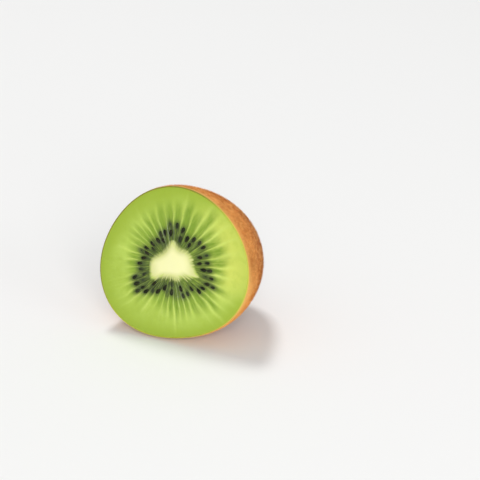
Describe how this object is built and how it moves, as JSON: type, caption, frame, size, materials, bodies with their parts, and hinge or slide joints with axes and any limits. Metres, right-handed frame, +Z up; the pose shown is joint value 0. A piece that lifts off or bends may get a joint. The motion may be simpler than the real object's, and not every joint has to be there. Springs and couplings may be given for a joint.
{
  "type": "kiwi fruit half",
  "caption": "Half of a green kiwi fruit, cut across the middle and lying on its side: moist green cut face, pale core ringed by dark seeds, and short brown fuzz on the skin.",
  "frame": {"origin": "middle of the footprint's bounding box, on the surface that the half rests on", "axes": "+Z up; the cut face looks along -Y and leans back 14 degrees; the stem end points towards +Y; +X is to the right as the cut is seen"},
  "size_m": [0.0532, 0.042, 0.0493],
  "materials": {
    "flesh": "moist, slightly translucent green fruit flesh with pale rays and dark green seed chambers",
    "core": "moist cream coloured woody core, soft edged",
    "skin": "thin dry brown skin, finely speckled",
    "seed": "small glossy near-black seeds",
    "stem_scar": "dark wrinkled corky scar",
    "hairs": "short soft brown hairs"
  },
  "bodies": {
    "root": {"flesh": "flesh", "core": "core"}
  },
  "joints": []
}
